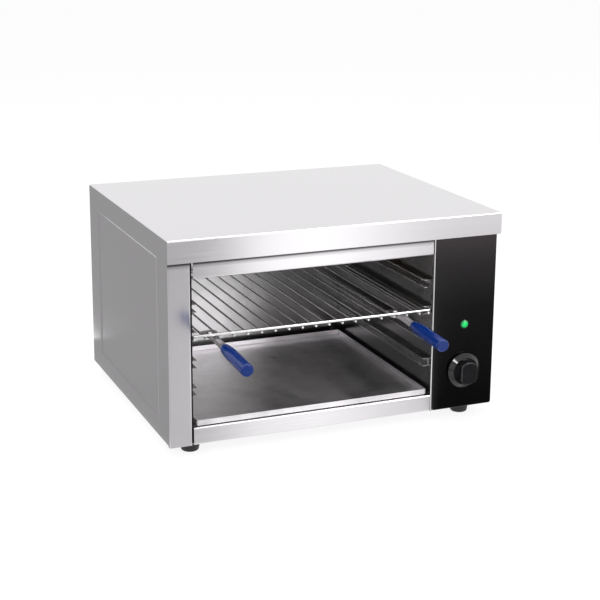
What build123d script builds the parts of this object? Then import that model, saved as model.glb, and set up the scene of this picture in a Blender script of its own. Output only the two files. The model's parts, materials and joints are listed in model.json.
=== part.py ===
from build123d import *
import os

# Countertop cheese melter: an open-fronted heated cavity with a wire rack on guides, a crumb
# tray, and a control bay on the right. Millimetres. While it is modelled, X = 0 is the middle
# of the casing, Y = 0 the front face of the left post (Y grows to the back) and Z = 0 the
# surface that the feet stand on. The last step moves it so that the origin is at the bottom
# centre of the whole.

os.makedirs("parts", exist_ok=True)

# ---------------------------------------------------------------- driving sizes
WIDTH = 600.0            # over the casing
DEPTH = 480.0            # front of the lip to the back of the casing
HEIGHT = 365.0           # floor to the top of the casing
FOOT_HEIGHT = 20.0       # floor to the underside of the casing
SHEET = 1.2              # thickness of every folded sheet
BEND = 2.6               # outside radius of a fold
FIT = 0.3                # clearance between sheets that slip past each other
CLOSE_FIT = 0.05         # clearance of a shaft or tube in its hole

# casing
LIP_HEIGHT = 38.0        # front lip of the top
LIP_PROUD = 1.5          # the lip stands forward of the posts
POST_WIDTH = 38.5        # left front post
POST_RETURN = 13.0
FLANGE = 15.0            # fixing flanges along the casing's edges
RECESS_DEPTH = 1.6       # rectangle pressed into each side
RECESS_SLOPE = 3.0       # width of its sloped border
RECESS_FRONT = 60.0
RECESS_BACK = 56.5
RECESS_BOTTOM = 34.0

# front opening
SILL_HEIGHT = 29.5
HEADER_HEIGHT = 27.5     # header that shows below the lip
RETURN = 14.0            # depth of the sill's and header's folded edges
POST_GAP = 2.9           # dark gap between the left post and the sill
HEADER_SHIFT = 1.1       # the header starts this much further in than the sill
WALL_BEHIND_POST = 0.8   # left cavity wall, from the post's return

# cavity
BAY_WIDTH = 127.5        # control bay: cavity's right wall to the casing's right side
REAR_SPACE = 87.5        # behind the cavity's back wall
CEILING_HEIGHT = 35.5    # ceiling above the header's lower edge
FLOOR_STEP = 1.0         # cavity floor above the sill's top

# control side
STRIP_WIDTH = 3.5        # bright front edge of the partition
STRIP_RETURN = 14.0
FASCIA_INSET = 7.0       # fascia's right edge, from the casing's right side
FASCIA_DEPTH = 15.0
FASCIA_CORNER = 4.0
KNOB_HEIGHT = 68.5       # knob's axis above the casing's underside
LAMP_HEIGHT = 151.5      # pilot lamp above the casing's underside

# rack and guides
GUIDE_FLANGE = 11.0
GUIDE_HEIGHT = 14.0
GUIDE_LEVELS = 4
GUIDE_LOW_GAP = 57.0     # lowest guide's middle above the sill
GUIDE_HIGH_GAP = 52.0    # top guide's middle below the header
GUIDE_FRONT = 12.0       # guide's front end behind the post's face
GUIDE_BACK_GAP = 3.0
RACK_LEVEL = 2           # the rack lies in this level, counted from the top
RACK_SIDE_CLEAR = 2.0
RACK_FRONT = 2.0         # wire ends behind the post's face
RACK_BACK_GAP = 9.0
RACK_ROD = 5.0           # diameter of the bars and side rods
RACK_WIRE = 3.5          # diameter of the front-to-back wires
WIRE_COUNT = 17
WIRE_EDGE = 24.0         # outer wires from the cavity's walls
WELD = 0.2               # how far welded rods sink into each other
ROD_CHAMFER = 0.8
BAR_SETBACK = 4.0        # bar's axis behind the wire ends

# rack handles
HANDLE_FROM_LEFT = 36.5  # left handle's axis from the left cavity wall
HANDLE_FROM_RIGHT = 61.5
PLATE_WIDTH = 25.0
PLATE_LENGTH = 25.0
PLATE_SHEET = 1.5
PLATE_CORNER = 3.0
PLATE_SCREW_PAST = 1.5   # handle screw past the lower plate
SHANK_WIDTH = 11.0
SHANK_WALL = 7.5         # height of the channel's sides
SHANK_LENGTH = 50.0      # free length between the rack and the grip
SHANK_IN_GRIP = 40.0
HANDLE_DROOP = 2.5       # degrees below level
GRIP_LENGTH = 105.0
GRIP_RADIUS = 10.5
GRIP_NECK_RADIUS = 7.6
GRIP_TAPER = 42.0
GRIP_END_RADIUS = 3.0
GRIP_NECK_EDGE = 1.5

# crumb tray
TRAY_SIDE_GAP = 7.0
TRAY_BACK_GAP = 16.0
TRAY_FRONT = 3.0
TRAY_WALL = 10.0
TRAY_SHEET = 1.0

# knob and shaft
SKIRT_RADIUS = 31.0
SKIRT_GAP = 3.0          # skirt above the fascia
SKIRT_RIM = 2.0
SKIRT_HEIGHT = 8.5
SKIRT_RING = 7.0         # radial width of the bevelled ring
DISH_DEPTH = 3.5
KNOB_LENGTH = 25.0       # fascia to the grip's face
KNOB_GRIP_RADIUS = 20.5
KNOB_GRIP_TAPER = 1.5
KNOB_GRIP_FLAT = 16.0    # from the axis to each finger flat
KNOB_FACE_RADIUS = 2.0
KNOB_WALL = 2.5
KNOB_LINE_WIDTH = 1.6    # pointer line cut into the grip's face
KNOB_LINE_DEPTH = 0.6
SHAFT_HOLE_GAP = 1.0     # around the shaft in the fascia
SHAFT_RADIUS = 3.0
SHAFT_FLAT = 1.6         # from the axis to the flat of the D
SHAFT_IN_KNOB = 12.0
THERMOSTAT_WIDTH = 44.0
THERMOSTAT_HEIGHT = 36.0
THERMOSTAT_DEPTH = 34.0
THERMOSTAT_PLATE = 1.5
THERMOSTAT_SCREW_SPACING = 28.0
THERMOSTAT_SCREW_HEAD_RADIUS = 3.0
THERMOSTAT_SCREW_HEAD = 1.8
THERMOSTAT_SCREW_BITE = 4.0
THERMOSTAT_CORNER = 3.0
TAB_WIDTH = 6.3          # push-on terminals of the thermostat
TAB_SHEET = 0.8
TAB_LENGTH = 9.0
SHAFT_IN_BODY = 20.0

# pilot lamp
LENS_RADIUS = 7.3
LENS_HEIGHT = 3.5
LAMP_BARREL_RADIUS = 6.0
LAMP_BARREL_LENGTH = 22.0
LENS_STRAIGHT = 1.2      # straight side below the lens's dome
LAMP_NUT = 3.0
LAMP_NUT_WIDER = 2.5     # nut's corners past the barrel
LAMP_TAB_WIDTH = 4.8
LAMP_TAB_LENGTH = 8.0
LAMP_TAB_ASIDE = 3.0

# heating
ELEMENT_RADIUS = 4.0
ELEMENT_COUNT = 3
ELEMENT_LEG_SPACING = 56.0
ELEMENT_DROP = 14.0      # element's axis below the ceiling
ELEMENT_LEFT_GAP = 22.0  # loop's end from the left wall
ELEMENT_INTO_BAY = 22.0  # ends past the partition
COLLAR_RADIUS = 8.0
COLLAR_THICKNESS = 4.0
HANGER_WIDTH = 8.0
HANGER_SHEET = 1.5
HANGER_PLACES = (0.3, 0.75)   # along the cavity's width
INSULATION_TOP = 24.0
INSULATION_GAP = 3.0

# feet and small hardware
FOOT_RADIUS = 18.0
FOOT_TIP_RADIUS = 14.5
FOOT_EDGE = 4.0
FOOT_SIDE_INSET = 45.0
FOOT_FRONT_INSET = 34.0
SCREW_RADIUS = 2.0
SCREW_HEAD_RADIUS = 4.0
SCREW_HEAD = 2.0
FOOT_SCREW_PAST = 4.0    # past the base pan
RIVET_RADIUS = 1.6
RIVET_HEAD_RADIUS = 3.2
RIVET_HEAD = 0.9
GLAND_RADIUS = 10.0
GLAND_BORE = 5.0
GLAND_OUT = 18.0
GLAND_THREAD = 8.0
GLAND_INSIDE = 14.0
GLAND_HEX = 6.0          # length of the gland's six-sided flange
GLAND_HEX_WIDER = 2.0    # hexagon's corners past the gland's dome
GLAND_DOME = 3.0
NUT_LENGTH = 5.0
VENT_LENGTH = 70.0       # cooling slots in the back, behind the control bay
VENT_WIDTH = 5.0
VENT_PITCH = 11.0
VENT_COLUMNS = 8
VENT_DOWN = 90.0         # middle of the slots below the top
SCREW_COLUMN_MARGIN = 60.0
BACK_SCREW_ROW = 3
BACK_SCREW_LENGTH = 8.0
BEAD_SHORTER = 0.5       # element's ceramic bead under the tube's radius
BEAD_LENGTH = 6.0
TERMINAL_RADIUS = 1.8
TERMINAL_LENGTH = 18.0
HANGER_PAD = 20.0
RIVET_FROM_FRONT = 30.0
RIVET_FROM_BACK = 50.0
RIVET_TAIL = 1.5         # past the wall behind the guide
STRIP_BEND = 1.6
GUIDE_BEND = 1.8
ELEMENT_HOLE_GAP = 1.0   # around an element in the partition
FLOOR_FOOT = 8.0         # flanges that the cavity floor stands on
PAN_EDGE = 12.0          # turned-up edge of the base pan
SENSOR_RADIUS = 3.0
SENSOR_LENGTH = 70.0
SENSOR_DOWN = 30.0       # sensor bulb below the ceiling
SENSOR_SIDE_GAP = 6.0    # bulb's end from the partition
CAPILLARY_RADIUS = 0.9
CAPILLARY_ASIDE = 30.0   # its run down the bay, from the partition
CAPILLARY_RISE = 20.0    # where it turns to the thermostat, above the knob's axis
CAPILLARY_BENDS = (18.0, 30.0, 40.0)
CLIP_SHEET = 1.0
CLIP_WIDTH = 6.0
CLIP_PAD = 12.0
BLOCK_WAYS = 3           # terminal block
BLOCK_PITCH = 14.0
BLOCK_DEPTH = 22.0
BLOCK_TALL = 18.0
BLOCK_ROUND = 3.0
BLOCK_AHEAD = 90.0       # its front, ahead of the back panel
BLOCK_SCREW_WELL = 2.6
BLOCK_WELL_DEPTH = 9.0
BLOCK_WIRE_HOLE = 2.4
STUD_RADIUS = 2.5
STUD_TALL = 16.0
STUD_NUT = 5.0
STUD_NUT_TALL = 4.0
STUD_AHEAD = 50.0
STUD_ASIDE = 20.0
GLAND_HEIGHT = 45.0      # above the casing's underside

# ---------------------------------------------------------------- worked-out places
LEFT, RIGHT = -WIDTH / 2, WIDTH / 2
BOTTOM, TOP = FOOT_HEIGHT, HEIGHT
BACK = DEPTH - LIP_PROUD
GLAND_LENGTH = GLAND_OUT - SHEET + GLAND_INSIDE
LIP_BOTTOM = TOP - LIP_HEIGHT
PAN_UNDER = BOTTOM + SHEET
PAN_TOP = PAN_UNDER + SHEET
TOP_UNDER = TOP - SHEET
POST_RIGHT = LEFT + POST_WIDTH
CAVITY_LEFT = POST_RIGHT + WALL_BEHIND_POST + SHEET
CAVITY_RIGHT = RIGHT - BAY_WIDTH
CAVITY_WIDTH = CAVITY_RIGHT - CAVITY_LEFT
CAVITY_DEPTH = BACK - REAR_SPACE
CAVITY_MIDDLE = (CAVITY_LEFT + CAVITY_RIGHT) / 2
SILL_TOP = BOTTOM + SILL_HEIGHT
HEADER_BOTTOM = LIP_BOTTOM - HEADER_HEIGHT
SILL_LEFT = POST_RIGHT + POST_GAP
SILL_RIGHT = CAVITY_RIGHT - WALL_BEHIND_POST
HEADER_LEFT = SILL_LEFT + HEADER_SHIFT
HEADER_RIGHT = SILL_RIGHT - HEADER_SHIFT
CEILING = HEADER_BOTTOM + CEILING_HEIGHT
FLOOR_TOP = SILL_TOP + FLOOR_STEP
STRIP_RIGHT = CAVITY_RIGHT + STRIP_WIDTH
FASCIA_LEFT = STRIP_RIGHT + FIT
FASCIA_RIGHT = RIGHT - FASCIA_INSET
CONTROL_X = (FASCIA_LEFT + FASCIA_RIGHT) / 2
KNOB_Z = BOTTOM + KNOB_HEIGHT
LAMP_Z = BOTTOM + LAMP_HEIGHT
ELEMENT_Z = CEILING - ELEMENT_DROP
GLAND_X = CONTROL_X
GLAND_Z = BOTTOM + GLAND_HEIGHT

nodes = {}


# ---------------------------------------------------------------- helpers
def block(x0, x1, y0, y1, z0, z1):
    """A plain block between two corners."""
    return Pos((x0 + x1) / 2, (y0 + y1) / 2, (z0 + z1) / 2) * Box(x1 - x0, y1 - y0, z1 - z0)


def rod(start, end, radius):
    """A straight round rod between two points."""
    start, end = Vector(*start), Vector(*end)
    axis = end - start
    plane = Plane(origin=start, z_dir=axis)
    return extrude(plane * Circle(radius), amount=axis.length)


def folded(points, bend=BEND, sheet=SHEET):
    """Section of a sheet folded along the points, with its metal to the left of the path."""
    path = [Vector(*p) for p in points]
    ways = [(b - a).normalized() for a, b in zip(path, path[1:])]
    lefts = [Vector(-w.Y, w.X) for w in ways]
    inner = [path[0] + lefts[0] * sheet]
    path_radii, inner_radii = [], []
    for i in range(1, len(ways)):
        share = 1 + lefts[i - 1].dot(lefts[i])
        inner.append(path[i] + (lefts[i - 1] + lefts[i]) * (sheet / share))
        turns_left = ways[i - 1].cross(ways[i]).Z > 0
        path_radii.append(bend if turns_left else bend - sheet)
        inner_radii.append(bend - sheet if turns_left else bend)
    inner.append(path[-1] + lefts[-1] * sheet)
    near = FilletPolyline(*path, radius=path_radii)
    far = FilletPolyline(*inner, radius=inner_radii)
    ends = [Line(path[0], inner[0]), Line(path[-1], inner[-1])]
    return make_face([*near.edges(), *far.edges(), *[e.edge() for e in ends]])


def along_x(face, x0, x1):
    """A section drawn in Y and Z, run from x0 to x1."""
    return Pos(x0, 0, 0) * extrude(Plane.YZ * face, amount=x1 - x0)


def along_y(face, y0, y1):
    """A section drawn in X and Z, run from y0 to y1."""
    return Pos(0, y0, 0) * extrude(Plane.XZ * face, amount=-(y1 - y0))


def along_z(face, z0, z1):
    """A section drawn in X and Y, run from z0 to z1."""
    return Pos(0, 0, z0) * extrude(face, amount=z1 - z0)


def screw(at, out, length, radius=SCREW_RADIUS, head_radius=SCREW_HEAD_RADIUS, head=SCREW_HEAD):
    """A pan-head screw: head on the surface at a point, shank going the other way."""
    plane = Plane(origin=at, z_dir=out)
    cap = extrude(plane * Circle(head_radius), amount=head)
    cap = fillet(cap.faces().sort_by(Axis(at, out))[-1].edges(), head * 0.45)
    return cap + extrude(plane * Circle(radius), amount=-length)


def hole(at, out, depth, radius=SCREW_RADIUS):
    """Round cutter for a hole from a surface inwards, with the close fit."""
    plane = Plane(origin=at, z_dir=out)
    return extrude(plane * Circle(radius + CLOSE_FIT), amount=-depth, both=True)


def group(solids):
    """Several separate solids in one node."""
    return Compound(children=[s.solid() if len(s.solids()) == 1 else s for s in solids])


# ---------------------------------------------------------------- casing
def pressed_side(outer_x, inward):
    """The rectangle pressed into a side: the metal it adds inside, and the pocket outside."""
    y0, y1 = RECESS_FRONT, DEPTH - RECESS_BACK
    z0, z1 = BOTTOM + RECESS_BOTTOM, LIP_BOTTOM
    face = Plane(origin=(outer_x, (y0 + y1) / 2, (z0 + z1) / 2), x_dir=(0, 1, 0),
                 z_dir=(inward, 0, 0))
    wide, tall = y1 - y0, z1 - z0
    slope = 2 * RECESS_SLOPE
    pocket = loft([face * Rectangle(wide, tall),
                   face.offset(RECESS_DEPTH) * Rectangle(wide - slope, tall - slope)])
    pressed = loft([face.offset(SHEET) * Rectangle(wide, tall),
                    face.offset(SHEET + RECESS_DEPTH) * Rectangle(wide - slope, tall - slope)])
    bridge = extrude(face * Rectangle(wide, tall), amount=SHEET)
    return bridge + pressed, pocket


def outer_casing():
    fold = 3 * SHEET                       # where the wrap starts behind the post's fold
    wrap = along_y(folded([(RIGHT - FLANGE, BOTTOM), (RIGHT, BOTTOM), (RIGHT, TOP),
                           (LEFT, TOP), (LEFT, BOTTOM), (LEFT + FLANGE, BOTTOM)]), fold, BACK)
    wrap -= block(RIGHT - FLANGE - 1, RIGHT + 1, 0, FASCIA_DEPTH, BOTTOM - 1, TOP - 2 * BEND)
    lip = along_x(folded([(FLANGE, TOP), (-LIP_PROUD, TOP), (-LIP_PROUD, LIP_BOTTOM)]), LEFT, RIGHT)
    outline = fillet(Rectangle(WIDTH, TOP - BOTTOM).vertices().group_by(Axis.Y)[-1], BEND)
    lip &= Pos(0, 0, (TOP + BOTTOM) / 2) * extrude(Plane.XZ * outline, amount=FLANGE, both=True)
    post = along_z(folded([(LEFT, 2 * fold), (LEFT, 0), (POST_RIGHT, 0),
                           (POST_RIGHT, POST_RETURN)]), BOTTOM, TOP_UNDER)
    rear = block(LEFT + SHEET, LEFT + FLANGE, BACK - SHEET, BACK, PAN_TOP, TOP_UNDER)
    rear += block(RIGHT - FLANGE, RIGHT - SHEET, BACK - SHEET, BACK, PAN_TOP, TOP_UNDER)
    rear += block(LEFT + SHEET, RIGHT - SHEET, BACK - SHEET, BACK, TOP - FLANGE, TOP_UNDER)
    behind_fascia = block(RIGHT - FLANGE - FASCIA_INSET, RIGHT - SHEET,
                          FASCIA_DEPTH, FASCIA_DEPTH + SHEET, BOTTOM, TOP_UNDER)
    casing = wrap + lip + post + rear + behind_fascia
    for outer_x, inward in ((LEFT, 1), (RIGHT, -1)):
        pressed, pocket = pressed_side(outer_x, inward)
        casing = casing + pressed - pocket
    for at in BACK_SCREWS:
        casing -= hole(at, (0, 1, 0), 3 * SHEET)
    return casing


def back_panel():
    panel = block(LEFT + BEND, RIGHT - BEND, BACK, BACK + SHEET, PAN_UNDER, TOP - BEND)
    panel = fillet(panel.edges().filter_by(Axis.Y), 2 * BEND)
    slot = Pos(0, BACK, 0) * extrude(Plane.XZ * SlotOverall(VENT_LENGTH, VENT_WIDTH, rotation=90),
                                     amount=2 * SHEET, both=True)
    for column in range(VENT_COLUMNS):
        x = CONTROL_X + (column - (VENT_COLUMNS - 1) / 2) * VENT_PITCH
        panel -= Pos(x, 0, TOP - VENT_DOWN) * slot
    panel -= hole((GLAND_X, BACK, GLAND_Z), (0, 1, 0), 2 * SHEET, GLAND_THREAD)
    for at in BACK_SCREWS:
        panel -= hole(at, (0, 1, 0), 3 * SHEET)
    return panel


BACK_SCREWS = []
for side_x in (LEFT + FLANGE / 2, RIGHT - FLANGE / 2):
    for row in range(BACK_SCREW_ROW):
        low, high = BOTTOM + SCREW_COLUMN_MARGIN, TOP - SCREW_COLUMN_MARGIN
        BACK_SCREWS.append((side_x, BACK + SHEET, low + (high - low) * row / (BACK_SCREW_ROW - 1)))

nodes["outer_casing"] = outer_casing()
nodes["back_panel"] = back_panel()
nodes["back_panel_screws"] = group([screw(at, (0, 1, 0), BACK_SCREW_LENGTH) for at in BACK_SCREWS])


# ---------------------------------------------------------------- base, feet
FOOT_X = (LEFT + FOOT_SIDE_INSET, RIGHT - FASCIA_INSET - FOOT_SIDE_INSET)
FOOT_Y = (FOOT_FRONT_INSET, BACK - FOOT_FRONT_INSET)
FOOT_PLACES = {"front_left": (FOOT_X[0], FOOT_Y[0]), "front_right": (FOOT_X[1], FOOT_Y[0]),
               "rear_left": (FOOT_X[0], FOOT_Y[1]), "rear_right": (FOOT_X[1], FOOT_Y[1])}
FOOT_SCREW_SEAT = 9.0    # height of the screw head's seat inside the foot
FOOT_WELL_RADIUS = 6.0


def base_pan():
    x0, x1 = LEFT + BEND + FIT, RIGHT - BEND - FIT
    y0, y1 = BEND + FIT, BACK - SHEET - FIT
    floor = block(x0, x1, y0, y1, PAN_UNDER, PAN_TOP)
    walls = block(x0, x1, y0, y1, PAN_UNDER, PAN_UNDER + PAN_EDGE)
    walls -= block(x0 + SHEET, x1 - SHEET, y0 + SHEET, y1 - SHEET, PAN_UNDER, PAN_UNDER + PAN_EDGE)
    walls -= block(x0, LEFT + FLANGE * 3, y0 - 1, y0 + POST_RETURN * 1.2, PAN_TOP, TOP)
    walls -= block(FASCIA_LEFT - 5, RIGHT, y0 - 1, FASCIA_DEPTH + 2 * SHEET + FIT, PAN_TOP, TOP)
    pan = floor + walls
    pan -= block(x0 - 1, POST_RIGHT + FIT, -1, POST_RETURN + FIT, BOTTOM, TOP)
    pan -= block(FASCIA_LEFT - FIT - STRIP_WIDTH, RIGHT, -1, FASCIA_DEPTH + SHEET + FIT, BOTTOM, TOP)
    for x, y in FOOT_PLACES.values():
        pan -= hole((x, y, PAN_UNDER), (0, 0, 1), 3 * SHEET, SCREW_RADIUS)
    return pan


def foot(x, y):
    """Tapered rubber foot with a rounded tip and a well for its screw."""
    height = PAN_UNDER
    section = Polyline((0, 0), (FOOT_TIP_RADIUS, 0), (FOOT_RADIUS, height), (0, height), close=True)
    body = revolve(Plane.XZ * make_face(section), Axis.Z)
    body = fillet(body.edges().group_by(Axis.Z)[0], FOOT_EDGE)
    body -= Cylinder(FOOT_WELL_RADIUS, FOOT_SCREW_SEAT, align=(Align.CENTER, Align.CENTER, Align.MIN))
    body -= Cylinder(SCREW_RADIUS + CLOSE_FIT, height, align=(Align.CENTER, Align.CENTER, Align.MIN))
    return Pos(x, y, 0) * body


nodes["base_pan"] = base_pan()
for name, (x, y) in FOOT_PLACES.items():
    nodes["foot_" + name] = foot(x, y)
nodes["foot_screws"] = group([screw((x, y, FOOT_SCREW_SEAT), (0, 0, -1),
                                    PAN_TOP - FOOT_SCREW_SEAT + FOOT_SCREW_PAST)
                              for x, y in FOOT_PLACES.values()])


# ---------------------------------------------------------------- front frame
def front_sill():
    section = folded([(RETURN, BOTTOM), (0, BOTTOM), (0, SILL_TOP), (RETURN, SILL_TOP)][::-1])
    return along_x(section, SILL_LEFT, SILL_RIGHT)


def front_header():
    section = folded([(RETURN, HEADER_BOTTOM), (0, HEADER_BOTTOM), (0, TOP_UNDER),
                      (RETURN, TOP_UNDER)][::-1])
    return along_x(section, HEADER_LEFT, HEADER_RIGHT)


def control_fascia():
    width, height = FASCIA_RIGHT - FASCIA_LEFT, TOP - BEND - FIT - BOTTOM
    face = Plane(origin=(CONTROL_X, 0, BOTTOM + height / 2), x_dir=(1, 0, 0), z_dir=(0, -1, 0))
    outline = fillet(Rectangle(width, height).vertices().group_by(Axis.Y)[0], FASCIA_CORNER)
    pan = extrude(face * outline, amount=-FASCIA_DEPTH)
    pan = fillet(pan.edges().filter_by(Axis.Z).group_by(Axis.Y)[0], BEND - SHEET)
    inside = Rectangle(width - 2 * SHEET, height - 2 * SHEET)
    pan -= extrude(face.offset(-SHEET) * inside, amount=-FASCIA_DEPTH)
    pan -= hole((CONTROL_X, 0, KNOB_Z), (0, -1, 0), 3 * SHEET, SHAFT_RADIUS + SHAFT_HOLE_GAP)
    for at in THERMOSTAT_SCREWS:
        pan -= hole(at, (0, -1, 0), 3 * SHEET)
    pan -= hole((CONTROL_X, 0, LAMP_Z), (0, -1, 0), 3 * SHEET, LAMP_BARREL_RADIUS)
    return pan


THERMOSTAT_SCREWS = [(CONTROL_X + side * THERMOSTAT_SCREW_SPACING / 2, 0, KNOB_Z)
                     for side in (-1, 1)]

nodes["front_sill"] = front_sill()
nodes["front_header"] = front_header()
nodes["control_fascia"] = control_fascia()


# ---------------------------------------------------------------- cavity
GUIDE_LENGTH = CAVITY_DEPTH - GUIDE_FRONT - GUIDE_BACK_GAP
GUIDE_PITCH = (HEADER_BOTTOM - GUIDE_HIGH_GAP - SILL_TOP - GUIDE_LOW_GAP) / (GUIDE_LEVELS - 1)
GUIDE_Z = [HEADER_BOTTOM - GUIDE_HIGH_GAP - GUIDE_PITCH * level for level in range(GUIDE_LEVELS)]
RIVET_Y = (GUIDE_FRONT + RIVET_FROM_FRONT, CAVITY_DEPTH - RIVET_FROM_BACK)
ELEMENT_Y = [CAVITY_DEPTH * (0.5 + i) / ELEMENT_COUNT for i in range(ELEMENT_COUNT)]
ELEMENT_ENDS = [y + side * ELEMENT_LEG_SPACING / 2 for y in ELEMENT_Y for side in (-1, 1)]
SENSOR_Y = (ELEMENT_Y[-2] + ELEMENT_Y[-1]) / 2
SENSOR_Z = CEILING - SENSOR_DOWN


def rivet_holes(wall_x, side):
    """Cutters for the guide rivets in one cavity wall."""
    return [hole((wall_x, y, z), (side, 0, 0), 4 * SHEET, RIVET_RADIUS) for z in GUIDE_Z for y in RIVET_Y]


def left_cavity_wall():
    section = folded([(CAVITY_LEFT - FLANGE, PAN_TOP), (CAVITY_LEFT, PAN_TOP),
                      (CAVITY_LEFT, CEILING + SHEET + FLANGE),
                      (CAVITY_LEFT - FLANGE, CEILING + SHEET + FLANGE)])
    wall = along_y(section, POST_RETURN + FIT + 1, CAVITY_DEPTH)
    wall += block(CAVITY_LEFT - SHEET, CAVITY_LEFT, SHEET, POST_RETURN + 2, PAN_TOP + BEND, CEILING)
    for cutter in rivet_holes(CAVITY_LEFT, 1):
        wall -= cutter
    return wall


def control_partition():
    """Right cavity wall, whose front edge is the narrow bright strip beside the fascia."""
    plan = folded([(CAVITY_RIGHT, BACK - FLANGE), (CAVITY_RIGHT, 0), (STRIP_RIGHT, 0),
                   (STRIP_RIGHT, STRIP_RETURN)], bend=STRIP_BEND)
    wall = along_z(plan, PAN_TOP, TOP_UNDER)
    wall += block(CAVITY_RIGHT, STRIP_RIGHT, 0, SHEET, BOTTOM, PAN_TOP)
    foot_flange = block(CAVITY_RIGHT, CAVITY_RIGHT + FLANGE, FASCIA_DEPTH + 2 * FLANGE,
                        BACK - FLANGE, PAN_TOP, PAN_TOP + SHEET)
    wall += foot_flange
    wall -= block(CAVITY_RIGHT - 1, STRIP_RIGHT + 1, -1, BEND, TOP - BEND - FIT, TOP)
    for cutter in rivet_holes(CAVITY_RIGHT, -1):
        wall -= cutter
    for y in ELEMENT_ENDS:
        wall -= hole((CAVITY_RIGHT, y, ELEMENT_Z), (-1, 0, 0), 3 * SHEET, ELEMENT_RADIUS + ELEMENT_HOLE_GAP)
    wall -= hole((CAVITY_RIGHT, SENSOR_Y, SENSOR_Z), (-1, 0, 0), 3 * SHEET, SENSOR_RADIUS)
    return wall


def back_cavity_wall():
    section = folded([(CAVITY_DEPTH + FLANGE, CEILING + SHEET + FLANGE),
                      (CAVITY_DEPTH, CEILING + SHEET + FLANGE), (CAVITY_DEPTH, PAN_TOP),
                      (CAVITY_DEPTH + FLANGE, PAN_TOP)])
    return along_x(section, CAVITY_LEFT - FLANGE, CAVITY_RIGHT - FIT)


def cavity_floor():
    x0, x1 = CAVITY_LEFT + FIT, CAVITY_RIGHT - FIT
    section = folded([(x1 - FLOOR_FOOT, PAN_TOP), (x1, PAN_TOP), (x1, FLOOR_TOP),
                      (x0, FLOOR_TOP), (x0, PAN_TOP), (x0 + FLOOR_FOOT, PAN_TOP)])
    floor = along_y(section, RETURN + 2 * SHEET, CAVITY_DEPTH - FIT)
    for x, y in FOOT_PLACES.values():
        floor -= hole((x, y, PAN_TOP), (0, 0, 1), 2 * BEND, SCREW_HEAD_RADIUS)
    return floor


def ceiling_reflector():
    x0, x1 = CAVITY_LEFT + FIT, CAVITY_RIGHT - FIT
    up = CEILING + FLANGE
    section = folded([(x1, up), (x1, CEILING), (x0, CEILING), (x0, up)][::-1])
    return along_y(section, RETURN + FIT, CAVITY_DEPTH - FIT)


def guide(wall_x, side, z):
    """C-channel on a cavity wall, open towards the cavity; side is +1 on the left wall."""
    half, reach = GUIDE_HEIGHT / 2, side * GUIDE_FLANGE
    path = [(wall_x + reach, z - half), (wall_x, z - half), (wall_x, z + half),
            (wall_x + reach, z + half)]
    channel = along_y(folded(path[::-1] if side > 0 else path, bend=GUIDE_BEND),
                      GUIDE_FRONT, GUIDE_FRONT + GUIDE_LENGTH)
    for y in RIVET_Y:
        channel -= hole((wall_x, y, z), (side, 0, 0), 3 * SHEET, RIVET_RADIUS)
    return channel


def guide_rivets():
    rivets = []
    for wall_x, side in ((CAVITY_LEFT, 1), (CAVITY_RIGHT, -1)):
        for z in GUIDE_Z:
            for y in RIVET_Y:
                rivets.append(screw((wall_x + side * SHEET, y, z), (side, 0, 0), 2 * SHEET + RIVET_TAIL,
                                    RIVET_RADIUS, RIVET_HEAD_RADIUS, RIVET_HEAD))
    return group(rivets)


nodes["left_cavity_wall"] = left_cavity_wall()
nodes["control_partition"] = control_partition()
nodes["back_cavity_wall"] = back_cavity_wall()
nodes["cavity_floor"] = cavity_floor()
nodes["ceiling_reflector"] = ceiling_reflector()
for level, z in enumerate(GUIDE_Z, start=1):
    nodes[f"guide_left_{level}"] = guide(CAVITY_LEFT, 1, z)
    nodes[f"guide_right_{level}"] = guide(CAVITY_RIGHT, -1, z)
nodes["guide_rivets"] = guide_rivets()


# ---------------------------------------------------------------- heating
def heating_element(y):
    """Hairpin of round tube whose two ends pass the partition."""
    end_x, loop_x = CAVITY_RIGHT + ELEMENT_INTO_BAY, CAVITY_LEFT + ELEMENT_LEFT_GAP
    bend = ELEMENT_LEG_SPACING / 2
    near, far = y - bend, y + bend
    path = [Line((end_x, near, ELEMENT_Z), (loop_x + bend, near, ELEMENT_Z)),
            ThreePointArc((loop_x + bend, near, ELEMENT_Z), (loop_x, y, ELEMENT_Z),
                          (loop_x + bend, far, ELEMENT_Z)),
            Line((loop_x + bend, far, ELEMENT_Z), (end_x, far, ELEMENT_Z))]
    wire = Wire([p.edge() for p in path])
    return sweep(Plane(origin=(end_x, near, ELEMENT_Z), z_dir=(-1, 0, 0)) * Circle(ELEMENT_RADIUS),
                 path=wire)


def element_collars():
    """Flanged bush around each element end, clamped to the bay side of the partition."""
    collars = []
    for y in ELEMENT_ENDS:
        plane = Plane(origin=(CAVITY_RIGHT + SHEET, y, ELEMENT_Z), z_dir=(1, 0, 0))
        ring = extrude(plane * RegularPolygon(COLLAR_RADIUS, 6), amount=COLLAR_THICKNESS)
        ring -= extrude(plane * Circle(ELEMENT_RADIUS + CLOSE_FIT), amount=COLLAR_THICKNESS)
        collars.append(ring)
    return group(collars)


def element_terminals():
    """Ceramic bead and stud on each element end."""
    terminals = []
    for y in ELEMENT_ENDS:
        plane = Plane(origin=(CAVITY_RIGHT + ELEMENT_INTO_BAY, y, ELEMENT_Z), z_dir=(1, 0, 0))
        bead = extrude(plane * Circle(ELEMENT_RADIUS - BEAD_SHORTER), amount=BEAD_LENGTH)
        terminals.append(bead + extrude(plane * Circle(TERMINAL_RADIUS), amount=TERMINAL_LENGTH))
    return group(terminals)


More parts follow.
